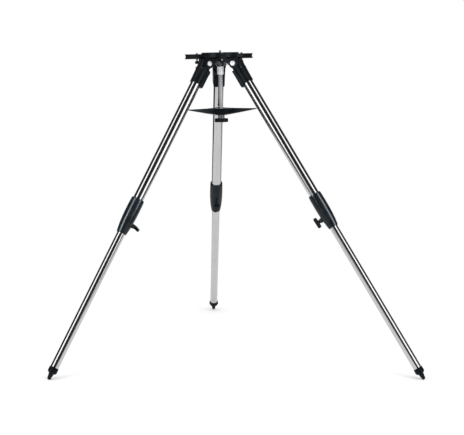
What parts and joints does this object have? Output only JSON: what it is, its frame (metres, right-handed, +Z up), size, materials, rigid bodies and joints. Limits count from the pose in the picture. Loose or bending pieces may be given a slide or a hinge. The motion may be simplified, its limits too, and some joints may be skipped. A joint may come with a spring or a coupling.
{
  "type": "telescope tripod",
  "caption": "Folding telescopic steel tripod with a flat-topped head, arms with captive mounting bolts, clamp sleeves with wing knobs and a spreader tray.",
  "frame": {"origin": "centre of the head's flat top face, where a telescope mount sits", "axes": "+Z up from level ground, +Y towards the rear leg, +X to the right seen from the front. The legs are drawn out to three different lengths, so the head leans about 3 degrees from +Z, and the mounts on the head state their own axis."},
  "size_m": [1.3054, 1.1164, 1.1118],
  "materials": {
    "cast_black": "fine-textured semi-gloss black paint on a casting",
    "bright_steel": "bright plated steel",
    "chrome_tube": "polished stainless tube with faint lengthwise draw marks",
    "grey_rod": "satin plated rod",
    "tray_black": "moulded black plastic, fine grain",
    "sleeve_black": "semi-gloss moulded black nylon",
    "knob_black": "moulded black plastic with rounded edges",
    "cap_black": "moulded black plastic",
    "nylon_black": "self-lubricating nylon",
    "brass_insert": "turned insert",
    "foot_rubber": "matt black rubber, scuffed at the tip"
  },
  "bodies": {
    "head": {"head_casting": "cast_black", "centre_pin": "bright_steel", "rod_socket": "bright_steel", "spreader_rod": "grey_rod", "pivot_bolts": "bright_steel", "pivot_nuts": "bright_steel", "pivot_washers": "bright_steel"},
    "tray": {"tray": "tray_black", "tray_spacer": "bright_steel"},
    "tension_knob": {"tension_knob": "knob_black", "tension_insert": "brass_insert"},
    "bolt_clip_front": {"mount_clip_front": "bright_steel"},
    "mount_bolt_front": {"mount_bolt_front": "bright_steel", "mount_knob_front": "knob_black"},
    "bolt_clip_right": {"mount_clip_right": "bright_steel"},
    "mount_bolt_right": {"mount_bolt_right": "bright_steel", "mount_knob_right": "knob_black"},
    "bolt_clip_left": {"mount_clip_left": "bright_steel"},
    "mount_bolt_left": {"mount_bolt_left": "bright_steel", "mount_knob_left": "knob_black"},
    "leg_rear": {"leg_bracket_rear": "sleeve_black", "bracket_screws_rear": "bright_steel", "upper_tube_rear": "chrome_tube", "clamp_sleeve_rear": "sleeve_black", "clamp_nut_rear": "brass_insert", "clamp_pad_rear": "nylon_black"},
    "wing_rear": {"wing_knob_rear": "knob_black", "clamp_screw_rear": "bright_steel"},
    "foot_rear": {"guide_bush_rear": "nylon_black", "lower_tube_rear": "chrome_tube", "foot_cap_rear": "cap_black", "foot_tip_rear": "foot_rubber"},
    "leg_left": {"leg_bracket_left": "sleeve_black", "bracket_screws_left": "bright_steel", "upper_tube_left": "chrome_tube", "clamp_sleeve_left": "sleeve_black", "clamp_nut_left": "brass_insert", "clamp_pad_left": "nylon_black"},
    "wing_left": {"wing_knob_left": "knob_black", "clamp_screw_left": "bright_steel"},
    "foot_left": {"guide_bush_left": "nylon_black", "lower_tube_left": "chrome_tube", "foot_cap_left": "cap_black", "foot_tip_left": "foot_rubber"},
    "leg_right": {"leg_bracket_right": "sleeve_black", "bracket_screws_right": "bright_steel", "upper_tube_right": "chrome_tube", "clamp_sleeve_right": "sleeve_black", "clamp_nut_right": "brass_insert", "clamp_pad_right": "nylon_black"},
    "wing_right": {"wing_knob_right": "knob_black", "clamp_screw_right": "bright_steel"},
    "foot_right": {"guide_bush_right": "nylon_black", "lower_tube_right": "chrome_tube", "foot_cap_right": "cap_black", "foot_tip_right": "foot_rubber"}
  },
  "joints": [
    {"name": "fold_left", "type": "hinge", "parent": "head", "child": "leg_left", "pos_m": [-0.05349, -0.03327, -0.04014], "axis": [0.4991, -0.865, 0.0519], "range_deg": [0, 27]},
    {"name": "fold_right", "type": "hinge", "parent": "head", "child": "leg_right", "pos_m": [0.05625, -0.03319, -0.03625], "axis": [0.5003, 0.8657, -0.0164], "range_deg": [0, 27]},
    {"name": "fold_rear", "type": "hinge", "parent": "head", "child": "leg_rear", "pos_m": [0.00145, 0.06179, -0.04194], "axis": [-0.9994, -0.0007, -0.0355], "range_deg": [0, 27]},
    {"name": "tray_turn", "type": "hinge", "parent": "head", "child": "tray", "pos_m": [0.00743, -0.00826, -0.20921], "axis": [-0.0355, 0.0394, 0.9986], "range_deg": [0, 89.6]},
    {"name": "tension_knob_turn", "type": "hinge", "parent": "head", "child": "tension_knob", "pos_m": [0.00871, -0.00967, -0.24516], "axis": [-0.0355, 0.0394, 0.9986], "continuous": true},
    {"name": "extend_left", "type": "slide", "parent": "leg_left", "child": "foot_left", "axis": [-0.434, -0.3013, -0.849], "range_m": [-0.505, 0.064]},
    {"name": "extend_right", "type": "slide", "parent": "leg_right", "child": "foot_right", "axis": [0.4935, -0.3007, -0.8161], "range_m": [-0.56, 0.009]},
    {"name": "extend_rear", "type": "slide", "parent": "leg_rear", "child": "foot_rear", "axis": [0.0303, 0.5021, -0.8643], "range_m": [-0.481, 0.088]},
    {"name": "wing_turn_left", "type": "hinge", "parent": "leg_left", "child": "wing_left", "pos_m": [-0.30235, -0.21106, -0.61071], "axis": [0.75, 0.4012, -0.5258], "continuous": true},
    {"name": "wing_turn_right", "type": "hinge", "parent": "leg_right", "child": "wing_right", "pos_m": [0.34518, -0.2106, -0.58773], "axis": [-0.7114, 0.4002, -0.5776], "continuous": true},
    {"name": "wing_turn_rear", "type": "hinge", "parent": "leg_rear", "child": "wing_rear", "pos_m": [0.02181, 0.34986, -0.62133], "axis": [0.0184, -0.8648, -0.5018], "continuous": true},
    {"name": "bolt_lift_left", "type": "slide", "parent": "head", "child": "bolt_clip_left", "axis": [-0.0355, 0.0394, 0.9986], "range_m": [0, 0.0065]},
    {"name": "bolt_turn_left", "type": "hinge", "parent": "bolt_clip_left", "child": "mount_bolt_left", "pos_m": [-0.08124, 0.04659, -0.01924], "axis": [-0.0355, 0.0394, 0.9986], "continuous": true},
    {"name": "bolt_lift_right", "type": "slide", "parent": "head", "child": "bolt_clip_right", "axis": [-0.0355, 0.0394, 0.9986], "range_m": [0, 0.0065]},
    {"name": "bolt_turn_right", "type": "hinge", "parent": "bolt_clip_right", "child": "mount_bolt_right", "pos_m": [0.08234, 0.0467, -0.01344], "axis": [-0.0355, 0.0394, 0.9986], "continuous": true},
    {"name": "bolt_lift_front", "type": "slide", "parent": "head", "child": "bolt_clip_front", "axis": [-0.0355, 0.0394, 0.9986], "range_m": [0, 0.0065]},
    {"name": "bolt_turn_front", "type": "hinge", "parent": "bolt_clip_front", "child": "mount_bolt_front", "pos_m": [0.00045, -0.095, -0.01076], "axis": [-0.0355, 0.0394, 0.9986], "continuous": true}
  ],
  "couplings": [
    {"joint": "fold_right", "follows": "fold_left", "ratio": 1},
    {"joint": "fold_rear", "follows": "fold_left", "ratio": 1},
    {"joint": "tray_turn", "follows": "fold_left", "ratio": 3.3}
  ]
}
